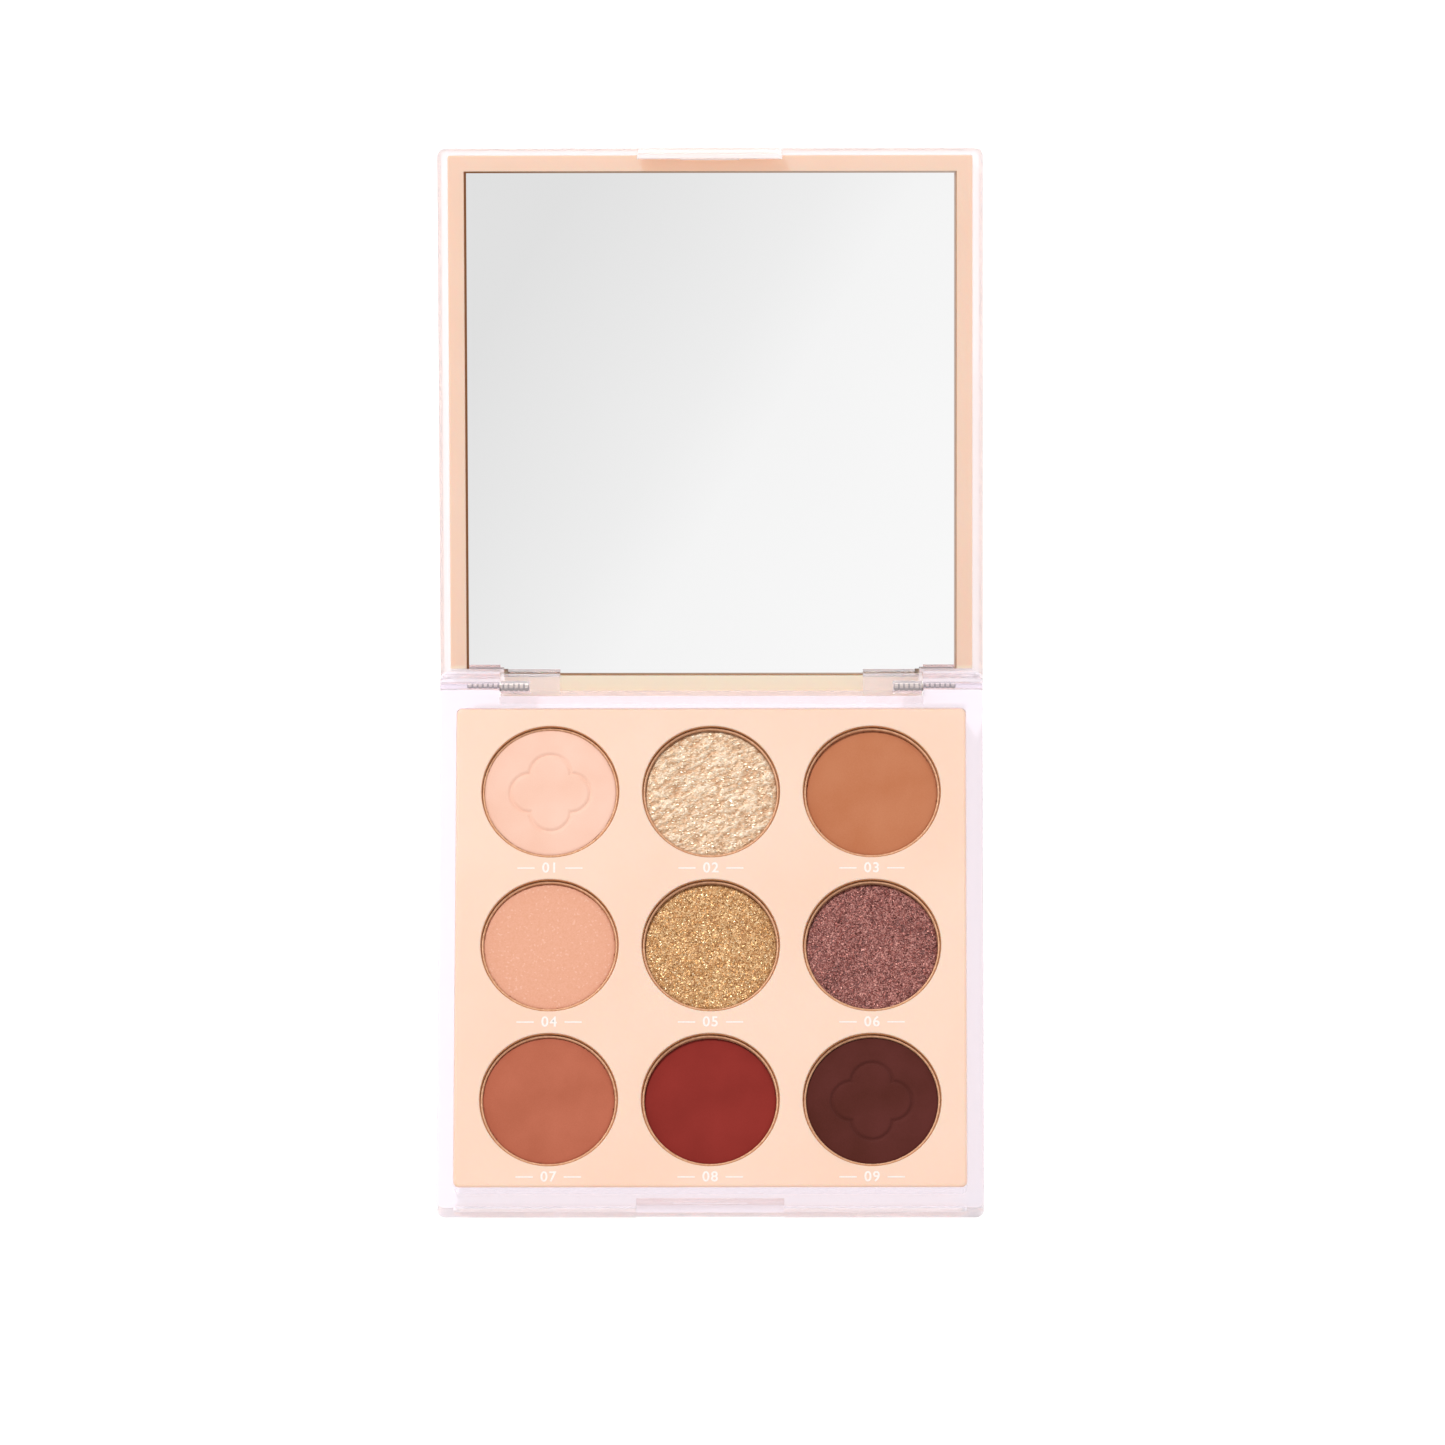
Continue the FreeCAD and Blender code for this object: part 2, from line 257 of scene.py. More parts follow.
# its border fades away, so that no straight edge shows in the glass from other sides
reach = add(tree, "ShaderNodeVectorMath", {"operation": "LENGTH"}, i0=spot)
border = add(tree, "ShaderNodeMapRange", Value=reach.outputs["Value"], From_Min=CARD_FADE[0],
             From_Max=CARD_FADE[1])
air = add(tree, "ShaderNodeBsdfTransparent")
faded = add(tree, "ShaderNodeMixShader", i0=border.outputs[0], i1=glow.outputs[0], i2=air.outputs[0])
add(tree, "ShaderNodeOutputMaterial", Surface=faded.outputs[0])
sideways = Vector((1, 0, 0))
side = bounce.cross(sideways).normalized()
corners = [card_middle + (sideways * sx + side * sy) * CARD_HALF for sx, sy in SQUARE]
card = mesh_object("mirror_card", corners, [(0, 1, 2, 3)], card_mat, smooth=False)
card.visible_camera = card.visible_diffuse = card.visible_shadow = card.visible_transmission = False
print("lamp", [round(c, 2) for c in key.location], "card at", [round(c, 2) for c in card_middle])

# %% [markdown]
# ## Clear case: moulded SAN
# Cosmetic cases like this are injection moulded in clear SAN or polystyrene. Here it
# bends light as common plastics do (IOR 1.5), and a part of the shader scatters light
# instead of passing it, which gives the walls their faint milk. Cycles would give a
# refracting solid a black shadow and leave what is inside it dark, so shadow rays and
# diffuse rays pass straight through, with a little tint. The tint is stronger round the
# lid's tab, where two thicknesses of plastic stand one behind the other.


# %% The clear plastic
KNUCKLE_REACH = 2.4            # mm from the hinge axis
KNUCKLE_CLARITY, KNUCKLE_ROUGHNESS, WALL_ROUGHNESS = 0.82, 0.04, 0.14
TAB_REACH = 14.0, 17.0         # mm from the middle of the tab


def clear_case(name, body, clarity, tint, thick_spot, thick_tint):
    """Clear plastic; `clarity` is the share of light that the walls pass on."""
    mat, tree, shader = new_material(name, Base_Color=lin(body), IOR=1.5)
    # the solid knuckles are kept clearer than the walls, so that the pins show inside them
    off_axis = add(tree, "ShaderNodeVectorMath", {"operation": "LENGTH"},
                   i0=place(tree, centre=hinge, stretch=(0, 1, 1)))
    knuckle = add(tree, "ShaderNodeMath", {"operation": "LESS_THAN"}, i0=off_axis.outputs["Value"],
                  i1=KNUCKLE_REACH)
    clear = add(tree, "ShaderNodeMath", {"operation": "MULTIPLY_ADD"}, i0=knuckle.outputs[0],
                i1=KNUCKLE_CLARITY - clarity, i2=clarity)
    haze = add(tree, "ShaderNodeMath", {"operation": "MULTIPLY_ADD"}, i0=knuckle.outputs[0],
               i1=KNUCKLE_ROUGHNESS - WALL_ROUGHNESS, i2=WALL_ROUGHNESS)
    ripple = add(tree, "ShaderNodeTexNoise", Vector=place(tree), Scale=0.09, Detail=1.0)
    bump = add(tree, "ShaderNodeBump", Strength=0.04, Distance=mm(0.2), Height=ripple.outputs[0])
    feed(shader, Transmission_Weight=clear.outputs[0], Roughness=haze.outputs[0], Normal=bump.outputs[0])
    path = add(tree, "ShaderNodeLightPath")
    either = add(tree, "ShaderNodeMath", {"operation": "MAXIMUM"}, i0=path.outputs["Is Diffuse Ray"],
                 i1=path.outputs["Is Shadow Ray"])
    reach = add(tree, "ShaderNodeVectorMath", {"operation": "LENGTH"},
                i0=place(tree, centre=thick_spot, stretch=(1, 3, 3)))
    thin = add(tree, "ShaderNodeMapRange", Value=reach.outputs["Value"], From_Min=TAB_REACH[0],
               From_Max=TAB_REACH[1])
    tinted = add(tree, "ShaderNodeMix", {"data_type": "RGBA"}, i0=thin.outputs[0], i6=lin(thick_tint),
                 i7=lin(tint))
    through = add(tree, "ShaderNodeBsdfTransparent", Color=tinted.outputs[2])
    mix = add(tree, "ShaderNodeMixShader", i0=either.outputs[0], i1=shader.outputs[0], i2=through.outputs[0])
    feed(tree.nodes["Material Output"], Surface=mix.outputs[0])
    return mat


lid_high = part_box("lid_shell")[1]
tab = Vector((0, lid_high[1] - mm(2), lid_high[2] - mm(1)))
dress("base_shell", clear_case("clear_san_base", "F8F2FA", 0.78, "FEFCFE", tab, "FEFCFE"))
dress("lid_shell", clear_case("clear_san_lid", "FFFBFE", 0.60, "FDFBFC", tab, "EFD6C0"))

# %% [markdown]
# ## Peach tray and mirror frame: moulded ABS
# Both peach parts come from one tinted ABS with a fine spark texture in the mould, which
# gives a soft satin shine without a clear highlight. The texture is about 0.15 mm, so it
# only shows as a slight softness; a slower cloud of colour keeps the large faces from
# looking like flat paint. The foot of the mirror frame, next to the hinge, is painted paler:
# painted light for the light that the clear plastic round it throws there, which the shader
# alone doesn't bring.


# %% The peach plastic
PALE_BLUR, PALE_PAST_MIRROR = 0.5, 1.0     # mm
NO_PALE_EDGE = -100.0                      # in front of the whole case


def peach_abs(name, edge):
    """The tinted plastic, with painted light that makes it paler in front of a line across the case, `edge`
    mm from the origin.
    """
    mat, tree, shader = new_material(name, Roughness=0.42, IOR=1.52,
                                     Subsurface_Weight=0.25, Subsurface_Scale=mm(1.6),
                                     Subsurface_Radius=(1.0, 0.5, 0.3), Specular_IOR_Level=0.42)
    cloud = add(tree, "ShaderNodeTexNoise", Vector=place(tree), Scale=0.035, Detail=2.0)
    tint = add(tree, "ShaderNodeValToRGB", {"stops": [(0.3, "FBD3BB"), (0.7, "FDD9C3")]},
               Fac=cloud.outputs[0])
    depth = add(tree, "ShaderNodeSeparateXYZ", Vector=place(tree))
    full = add(tree, "ShaderNodeMapRange", Value=depth.outputs["Y"], From_Min=edge - PALE_BLUR,
               From_Max=edge + PALE_BLUR)
    # painted light: in front of the edge the peach is mixed towards a paler tone
    painted_light = add(tree, "ShaderNodeMix", {"data_type": "RGBA"}, i0=full.outputs[0], i6=lin("FFF2DC"),
                i7=tint.outputs[0])
    spark = add(tree, "ShaderNodeTexNoise", Vector=place(tree), Scale=6.5, Detail=2.0)
    bump = add(tree, "ShaderNodeBump", Strength=0.10, Distance=mm(0.03), Height=spark.outputs[0])
    feed(shader, Base_Color=painted_light.outputs[2], Normal=bump.outputs[0])
    return mat


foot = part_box("mirror")[0][1] * 1000 + PALE_PAST_MIRROR
frame_peach = peach_abs("peach_abs_frame", foot)
dress("pan_tray", peach_abs("peach_abs_tray", NO_PALE_EDGE))
dress("mirror_frame", frame_peach)
print("the frame is paler up to y", round(foot, 2), "mm")

# %% [markdown]
# ## The back of the mirror frame
# The frame lies flat against the inside of the lid, and two faces in the very same plane
# can't be told apart by a ray that comes through the clear plate. A film of the same peach
# plastic, a few hundredths of a millimetre thick, straddles that plane, so that the shut
# lid shows one even peach face.


# %% Peach film on the back of the frame
FILM_HALF, SAME_PLANE = mm(0.02), mm(0.005)


def frame_film(half):
    """A closed film over the frame's flat back, as far in front of that plane as behind it."""
    mesh = nodes["mirror_frame"].data
    depth = [facing.dot(v.co) for v in mesh.vertices]
    flat = [p for p in mesh.polygons if max(depth[i] for i in p.vertices) < min(depth) + SAME_PLANE]
    used = sorted({i for p in flat for i in p.vertices})
    at = {i: n for n, i in enumerate(used)}
    verts = [mesh.vertices[i].co + facing * side for side in (-half, half) for i in used]
    outer = [tuple(at[i] for i in p.vertices) for p in flat]
    inner = [tuple(i + len(used) for i in reversed(face)) for face in outer]
    edges = {(face[k - 1], face[k]) for face in outer for k in range(len(face))}
    rim = [(b, a, a + len(used), b + len(used)) for a, b in sorted(edges) if (b, a) not in edges]
    return verts, outer + inner + rim


verts, faces = frame_film(FILM_HALF)
film = mesh_object("mirror_frame_back_film", verts, faces, frame_peach, smooth=False)
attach(film, "lid")
print("back film", len(faces), "faces")

# %% [markdown]
# ## Mirror, pans, glue and label
# The mirror is thin glass silvered on its back; the narrow brown seam at its edge is painted
# shade and a painted reflection of the frame's shaded wall, darkest on the left. The pans
# are thin pressed aluminium, slightly worn; their warm colour is a painted reflection of
# the peach plastic and glue round them. Nobody sees the glue films and the label
# unless the case is taken apart or turned over, but they get a finish as well.


# %% Mirror, aluminium, glue and label
MIRROR_SEAM = 0.32             # mm, width of the brown edge of painted shade
SEAM_ROUGHNESS, GLASS_ROUGHNESS = 0.515, 0.015


def mirror_silver():
    mat, tree, shader = new_material("mirror_silvered_glass", Metallic=1.0)
    haze = add(tree, "ShaderNodeTexNoise", Vector=place(tree), Scale=0.02, Detail=1.0)
    low, high = (Vector(c) * 1000 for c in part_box("mirror"))
    reach = [slope.dot(v.co) * 1000 for v in mirror_glass.data.vertices]
    wide, tall = (high.x - low.x) / 2, (max(reach) - min(reach)) / 2
    flat = add(tree, "ShaderNodeSeparateXYZ", Vector=place(tree, centre=(low + high) / 2000, lean=-lean))
    # the brown seam round the edge is painted shade and a painted reflection of the frame's shaded wall,
    # darker to the left
    over = [add(tree, "ShaderNodeMath", {"operation": "GREATER_THAN"}, i1=limit - MIRROR_SEAM,
                i0=add(tree, "ShaderNodeMath", {"operation": "ABSOLUTE"}, i0=flat.outputs[axis]).outputs[0])
            for axis, limit in (("X", wide), ("Y", tall))]
    seam = add(tree, "ShaderNodeMath", {"operation": "MAXIMUM"}, i0=over[0].outputs[0],
               i1=over[1].outputs[0])
    silver = add(tree, "ShaderNodeValToRGB", {"stops": [(0.2, "FAFAFA"), (0.8, "FCFCFC")]},
                 Fac=haze.outputs[0])
    across = add(tree, "ShaderNodeMapRange", Value=flat.outputs["X"], From_Min=-wide, From_Max=wide)
    seam_shade_browns = [(0.02, "9A6C4C"), (0.2, "B89A84"), (1.0, "DAC8BC")]
    brown = add(tree, "ShaderNodeValToRGB", {"stops": seam_shade_browns}, Fac=across.outputs[0])
    seam_shaded = add(tree, "ShaderNodeMix", {"data_type": "RGBA"}, i0=seam.outputs[0], i6=silver.outputs[0],
                i7=brown.outputs[0])
    polish = add(tree, "ShaderNodeMath", {"operation": "MULTIPLY_ADD"}, i0=seam.outputs[0],
                 i1=SEAM_ROUGHNESS - GLASS_ROUGHNESS, i2=GLASS_ROUGHNESS)
    feed(shader, Base_Color=seam_shaded.outputs[2], Roughness=polish.outputs[0])
    return mat


def pan_aluminium():
    mat, tree, shader = new_material("aluminium_pressed", Metallic=0.4, Roughness=0.5)
    wear = add(tree, "ShaderNodeTexNoise", Vector=place(tree), Scale=1.6, Detail=4.0)
    # the warm tone is a painted reflection of the peach plastic and glue round the pans
    tone = add(tree, "ShaderNodeValToRGB", {"stops": [(0.35, "CC9670"), (0.65, "DEAE8A")]},
               Fac=wear.outputs[0])
    bump = add(tree, "ShaderNodeBump", Strength=0.15, Distance=mm(0.02), Height=wear.outputs[0])
    feed(shader, Base_Color=tone.outputs[0], Normal=bump.outputs[0])
    return mat


def glue_film():
    mat, tree, shader = new_material("acrylic_glue_film", Roughness=0.5)
    wave = add(tree, "ShaderNodeTexNoise", Vector=place(tree), Scale=0.5, Detail=2.0)
    tone = add(tree, "ShaderNodeValToRGB", {"stops": [(0.3, "E4DDD2"), (0.7, "EFE9E0")]},
               Fac=wave.outputs[0])
    feed(shader, Base_Color=tone.outputs[0])
    return mat


def label_paper():
    mat, tree, shader = new_material("label_paper_coated", Roughness=0.55)
    fibre = add(tree, "ShaderNodeTexNoise", Vector=place(tree, stretch=(1, 3, 1)), Scale=2.0, Detail=5.0)
    tone = add(tree, "ShaderNodeValToRGB", {"stops": [(0.3, "F4F1EE"), (0.7, "FAF8F6")]},
               Fac=fibre.outputs[0])
    feed(shader, Base_Color=tone.outputs[0])
    return mat


PANS = range(1, 10)
dress("mirror", mirror_silver())
aluminium = pan_aluminium()
for n in PANS:
    dress("pan_%d" % n, aluminium)
glue = glue_film()
for name in ("pan_adhesive", "mirror_adhesive"):
    dress(name, glue)
dress("base_label", label_paper())

# %% [markdown]
# ## Pressed powder: four kinds of finish
# A matte shade is fine pigment pressed hard, so it has a dry velvet surface with grain
# under a tenth of a millimetre; here it is drawn a little coarser so that it shows. A
# satin shade is the same with a few pale specks. A mica shade is full of flakes about
# 0.2 mm across that lie almost flat, each catching the lamp at its own moment. A foil
# shade is pressed with a cloth, which leaves raised streaks between valleys; painted
# highlight makes the streaks bright and painted shade makes the valleys dull.


# %% Powder finishes
def matte_powder(name, dark, light, centre):
    mat, tree, shader = new_material(name, Roughness=0.92, Specular_IOR_Level=0.18,
                                     Sheen_Weight=0.06, Sheen_Roughness=0.5)
    grain = add(tree, "ShaderNodeTexNoise", Vector=place(tree, centre), Scale=4.5, Detail=3.0)
    cloud = add(tree, "ShaderNodeTexNoise", Vector=place(tree, centre), Scale=0.12, Detail=2.0)
    both = add(tree, "ShaderNodeMath", {"operation": "MULTIPLY_ADD"}, i0=grain.outputs[0], i1=0.45,
               i2=cloud.outputs[0])
    tone = add(tree, "ShaderNodeValToRGB", {"stops": [(0.5, dark), (0.95, light)]}, Fac=both.outputs[0])
    bump = add(tree, "ShaderNodeBump", Strength=0.25, Distance=mm(0.05), Height=grain.outputs[0])
    feed(shader, Base_Color=tone.outputs[0], Normal=bump.outputs[0])
    return mat


def satin_powder(name, dark, light, speck, centre):
    mat, tree, shader = new_material(name, Roughness=0.6, Specular_IOR_Level=0.4)
    at = place(tree, centre)
    grain = add(tree, "ShaderNodeTexNoise", Vector=at, Scale=3.5, Detail=3.0)
    base = add(tree, "ShaderNodeValToRGB", {"stops": [(0.35, dark), (0.65, light)]}, Fac=grain.outputs[0])
    cells = add(tree, "ShaderNodeTexVoronoi", Vector=at, Scale=3.2)
    pick = add(tree, "ShaderNodeSeparateColor", Color=cells.outputs["Color"])
    rare = add(tree, "ShaderNodeMath", {"operation": "GREATER_THAN"}, i0=pick.outputs[0], i1=0.95)
    mix = add(tree, "ShaderNodeMix", {"data_type": "RGBA"}, i0=rare.outputs[0], i6=base.outputs[0],
              i7=lin(speck))
    bump = add(tree, "ShaderNodeBump", Strength=0.3, Distance=mm(0.05), Height=grain.outputs[0])
    feed(shader, Base_Color=mix.outputs[2], Normal=bump.outputs[0])
    return mat


def shimmer_powder(name, stops, cell, centre, metallic=0.2, turn=0.0, stretch=(1, 1, 1), relief=0.0):
    """Mica in a binder: random cells of tone, each with its own tilt. The surface's own
    height, stored on the cake as "lift", can take over part of the tone: painted highlight
    where it stands high and painted shade in its valleys."""
    mat, tree, shader = new_material(name, Metallic=metallic, Roughness=0.5)
    at = place(tree, centre, turn, stretch)
    cells = add(tree, "ShaderNodeTexVoronoi", Vector=at, Scale=1.0 / cell)
    pick = add(tree, "ShaderNodeSeparateColor", Color=cells.outputs["Color"])
    cloud = add(tree, "ShaderNodeTexNoise", Vector=at, Scale=0.45, Detail=3.0)
    cloud_share = 0.7
    both = add(tree, "ShaderNodeMath", {"operation": "MULTIPLY_ADD"}, i0=cloud.outputs[0], i1=cloud_share,
               i2=pick.outputs[0])
    flat = add(tree, "ShaderNodeMath", {"operation": "MULTIPLY"}, i0=both.outputs[0],
               i1=(1.0 - relief) / (1.0 + cloud_share))
    # the height-led share of the tone is painted highlight on high ground and painted shade in valleys
    lift = add(tree, "ShaderNodeAttribute", {"attribute_name": "lift"})
    level = add(tree, "ShaderNodeMath", {"operation": "MULTIPLY_ADD"}, i0=lift.outputs["Fac"], i1=relief,
                i2=flat.outputs[0])
    tone = add(tree, "ShaderNodeValToRGB", {"stops": stops}, Fac=level.outputs[0])
    bump = add(tree, "ShaderNodeBump", Strength=0.55, Distance=mm(0.12), Height=pick.outputs[1])
    feed(shader, Base_Color=tone.outputs[0], Normal=bump.outputs[0])
    return mat


def flake_mica(name, stops, roughness):
    """Loose flakes; each carries its own tone, stored when it is scattered."""
    mat, tree, shader = new_material(name, Metallic=0.75, Roughness=roughness)
    own = add(tree, "ShaderNodeAttribute", {"attribute_name": "tone"})
    tone = add(tree, "ShaderNodeValToRGB", {"stops": stops}, Fac=own.outputs["Fac"])
    feed(shader, Base_Color=tone.outputs[0])
    return mat


# %% [markdown]
# ## The powder cakes
# Each cake is a round slab with a real surface: a grid of points cut to a circle, lifted
# or sunk by a height rule. Matte cakes only get a gentle dome and a fine unevenness, two
# of them carry a pressed rosette (a thin groove round four overlapping circles), and the
# foil cake gets cloth streaks. A grid keeps the detail even; a disc made of spokes would
# bunch it at the middle.


# %% Height rules for the powder faces
def soft_noise(x, y, size, seed):
    """Smooth noise on a plane, about `size` mm from bump to bump, between -1 and 1."""
    rng = np.random.default_rng(seed)
    table = rng.uniform(-1, 1, (64, 64))
    gx, gy = x / size + 31.7, y / size + 17.3
    ix, iy = np.floor(gx).astype(int), np.floor(gy).astype(int)
    fx, fy = gx - ix, gy - iy
    fx, fy = fx * fx * (3 - 2 * fx), fy * fy * (3 - 2 * fy)
    corner = [[table[(ix + i) % 64, (iy + j) % 64] for i in (0, 1)] for j in (0, 1)]
    top, low = (pair[0] * (1 - fx) + pair[1] * fx for pair in corner)
    return top * (1 - fy) + low * fy


def matte_face(x, y, seed):
    return -0.03 + 0.012 * soft_noise(x, y, 3.0, seed) + 0.005 * soft_noise(x, y, 0.6, seed + 1)


PETAL_OUT, PETAL_R = 3.7, 3.9              # mm
GROOVE_DEEP, GROOVE_WIDE = 0.36, 0.34
SMOOTH_MIDDLE, FAR_AWAY = 2.0, 9.0


def rosette_groove(x, y):
    """A thin pressed groove round four overlapping circles."""
    rings = [np.hypot(x - PETAL_OUT * cx, y - PETAL_OUT * cy) - PETAL_R
             for cx, cy in ((1, 0), (-1, 0), (0, 1), (0, -1))]
    away = np.abs(np.minimum.reduce(rings))
    # the four circles nearly meet in the middle, which stays smooth
    away = np.where(np.hypot(x, y) < SMOOTH_MIDDLE, FAR_AWAY, away)
    return -GROOVE_DEEP * np.exp(-(away / GROOVE_WIDE) ** 2)


def rosette_face(x, y, seed):
    return matte_face(x, y, seed) + rosette_groove(x, y)


def shimmer_face(x, y, seed):
    return -0.10 + 0.05 * soft_noise(x, y, 0.9, seed) + 0.04 * soft_noise(x, y, 0.45, seed + 1)


def foil_face(x, y, seed):
    """Streaks that run up to the right, as a cloth leaves them."""
    a, b = x * 0.9 + y * 0.43, y * 0.9 - x * 0.43
    wander = 0.4 * soft_noise(x, y, 2.2, seed + 2)
    streak = (soft_noise(a / 2.6, b + wander, 0.62, seed) * 0.55
              + soft_noise(a / 1.7, b + wander, 0.34, seed + 1) * 0.45)
    return -0.16 + 0.13 * streak


EDGE_BAND, EDGE_DROP, EDGE_FIT = 0.5, 0.12, 0.01      # mm


def powder_cake(node, face, mat, seed, step=0.25):
    """A slab with a real surface, in place of a plain CAD powder; `step` is its grid in mm."""
    low, high = (Vector(c) * 1000 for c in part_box(node))
    centre, radius = (low + high) / 2, (high.x - low.x) / 2 - EDGE_FIT
    half = int(radius / step) + 2
    axis = np.arange(-half, half + 1) * step
    gx, gy = np.meshgrid(axis, axis)
    # points just outside the circle are drawn in to it, so the edge is round
    far = np.hypot(gx, gy)
    keep = far < radius + 0.71 * step
    pull = np.where(far > radius - 0.35 * step, radius / np.maximum(far, 1e-6), 1.0)
    px, py = gx * pull, gy * pull
    drop = np.minimum(face(px, py, seed), -0.005)
    edge = np.clip((np.hypot(px, py) - (radius - EDGE_BAND)) / EDGE_BAND, 0, 1)
    pz = high.z + drop - EDGE_DROP * edge ** 2
    index = -np.ones(gx.shape, int)
    index[keep] = np.arange(keep.sum())
    verts = np.stack([px[keep] + centre.x, py[keep] + centre.y, pz[keep]], 1)
    quads = np.stack([index[:-1, :-1], index[:-1, 1:], index[1:, 1:], index[1:, :-1]], -1).reshape(-1, 4)
    faces = [tuple(int(i) for i in q if i >= 0) for q in quads if (q >= 0).sum() >= 3]
    # the side wall and the underside follow the rim of the face
    edges = dict.fromkeys((i, j) for f in faces for i, j in zip(f, f[1:] + f[:1]))
    rim = [(i, j) for i, j in edges if (j, i) not in edges]
    ring, extra = {}, []
    for i, j in rim:
        for k in (i, j):
            if k not in ring:
                ring[k] = len(verts) + len(extra)
                extra.append((verts[k][0], verts[k][1], low.z))
    mid = len(verts) + len(extra)
    extra.append((centre.x, centre.y, low.z))
    for i, j in rim:
        faces.append((j, i, ring[i], ring[j]))
        faces.append((ring[j], ring[i], mid))
    every = np.vstack([verts, np.array(extra)]) / 1000.0
    cake = mesh_object("pressed_" + node, every, faces, mat)
    lift = np.zeros(len(every))
    tops = drop[keep]
    lift[:keep.sum()] = (tops - tops.min()) / max(float(np.ptp(tops)), 1e-6)
    cake.data.attributes.new("lift", "FLOAT", "POINT").data.foreach_set("value", lift)
    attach(cake, "base")
    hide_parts(node)
    print(cake.name, len(cake.data.polygons), "faces")


def cake_centre(n):
    low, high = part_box("powder_%d" % n)
    return (Vector(low) + Vector(high)) / 2


# %% Make the nine cakes
MATTE_SHADES = {
    1: ("F8C8B1", "FDD3BF"), 3: ("C27751", "CA825D"), 7: ("B6644A", "C26E54"), 8: ("892A23", "953029"),
    9: ("53231A", "602C27"),
}
WITH_ROSETTE = (1, 9)
for n, (dark, light) in MATTE_SHADES.items():
    mat = matte_powder("pressed_matte_%d" % n, dark, light, cake_centre(n))
    face, step = (rosette_face, 0.16) if n in WITH_ROSETTE else (matte_face, 0.3)
    powder_cake("powder_%d" % n, face, mat, 10 * n, step)

powder_cake("powder_4", matte_face, satin_powder("pressed_satin_4", "E9A585", "EEAE90", "F2B89C",
                                                 cake_centre(4)), 40, 0.3)
powder_cake("powder_6", shimmer_face, shimmer_powder(
    "pressed_mica_6", [(0.1, "34100C"), (0.5, "864640"), (0.9, "D8988C")], 0.2, cake_centre(6)), 60)
powder_cake("powder_5", shimmer_face, shimmer_powder(
    "pressed_mica_5", [(0.1, "7E4A20"), (0.5, "BE8850"), (0.9, "F0CE9C")], 0.22, cake_centre(5), 0.3), 50)
# the foil's ramp runs from painted shade in the valleys to painted highlight on the streaks
powder_cake("powder_2", foil_face, shimmer_powder(
    "pressed_foil_2", [(0.2, "C08A62"), (0.45, "D8B08A"), (0.75, "F6E4CC")], 0.22, cake_centre(2), 0.25,
    turn=-0.45, stretch=(0.6, 1.3, 1), relief=0.45), 20, 0.15)

# %% [markdown]
# ## Glue round the pans, as painted shade
# A pan drops into its pocket with 0.15 mm of room all round, and an amber bead of glue fills
# that gap. Its brown is painted shade for the shaded gap; from above it is the thin brown line
# round every pan. A ring of four faces per step, closed on itself, is all it takes. The mirror
# has the same bead round it, in the lid's leaning plane, and one function joins each loop's corners.


# %% Glue beads
def amber_glue_and_shade():
    mat, tree, shader = new_material("hot_glue_amber_and_gap_shade", Roughness=0.4, Subsurface_Weight=0.3,
                                     Subsurface_Scale=mm(0.5), Subsurface_Radius=(1.0, 0.5, 0.25))
    thick = add(tree, "ShaderNodeTexNoise", Vector=place(tree), Scale=0.4, Detail=2.0)
    # the amber brown is painted shade for the shaded gap round each pan and round the mirror
    tint = add(tree, "ShaderNodeValToRGB", {"stops": [(0.3, "C27A46"), (0.7, "D08E5C")]},
               Fac=thick.outputs[0])
    feed(shader, Base_Color=tint.outputs[0])
    return mat


def bead_faces(start, steps):
    """Quads of a closed bead whose section has four corners, from vertex `start` on."""
    quads = []
    for i in range(steps):
        a, b = start + 4 * i, start + 4 * ((i + 1) % steps)
        quads += [(a + k, a + (k + 1) % 4, b + (k + 1) % 4, b + k) for k in range(4)]
    return quads


BEAD_FIT, BEAD_GAP, BEAD_TOP, BEAD_RISE, BEAD_DEEP = 0.005, 0.14, 0.22, 0.04, 0.8     # mm
STEPS = 96
tray_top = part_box("pan_tray")[1][2]
top = tray_top * 1000
verts, faces = [], []
for n in PANS:
    low, high = (Vector(c) * 1000 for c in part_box("pan_%d" % n))
    inner = (high.x - low.x) / 2 + BEAD_FIT
    section = ((inner, top - BEAD_TOP), (inner + BEAD_GAP, top - BEAD_TOP + BEAD_RISE),
               (inner + BEAD_GAP, top - BEAD_DEEP), (inner, top - BEAD_DEEP))
    faces += bead_faces(len(verts), STEPS)
    for i in range(STEPS):
        turn = 2 * math.pi * i / STEPS
        for radius, z in section:
            verts.append((mm((low.x + high.x) / 2 + radius * math.cos(turn)),
                          mm((low.y + high.y) / 2 + radius * math.sin(turn)), mm(z)))
amber = amber_glue_and_shade()
beads = mesh_object("pan_glue_beads", verts, faces, amber)
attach(beads, "base")
print("glue beads", len(beads.data.polygons), "faces")

# the same bead of glue and painted shade round the mirror: how far each corner of its section lies out and
# down
MIRROR_BEAD = ((BEAD_FIT, 0.03), (BEAD_GAP, 0.01), (BEAD_GAP, 0.5), (BEAD_FIT, 0.5))
low, high = (Vector(c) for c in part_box("mirror"))
ups = [slope.dot(v.co) for v in mirror_glass.data.vertices]
face_level = max(facing.dot(v.co) for v in mirror_glass.data.vertices)
verts, faces = [], bead_faces(0, len(SQUARE))
for sx, sy in SQUARE:
    for grow, sink in MIRROR_BEAD:
        x = sx * ((high.x - low.x) / 2 + mm(grow)) + (low.x + high.x) / 2
        rise = (max(ups) + mm(grow)) if sy > 0 else (min(ups) - mm(grow))
        verts.append(Vector((x, 0, 0)) + slope * rise + facing * (face_level - mm(sink)))
rim_bead = mesh_object("mirror_glue_and_shade_bead", verts, faces, amber, smooth=False)
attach(rim_bead, "lid")
print("mirror bead", len(faces), "faces")

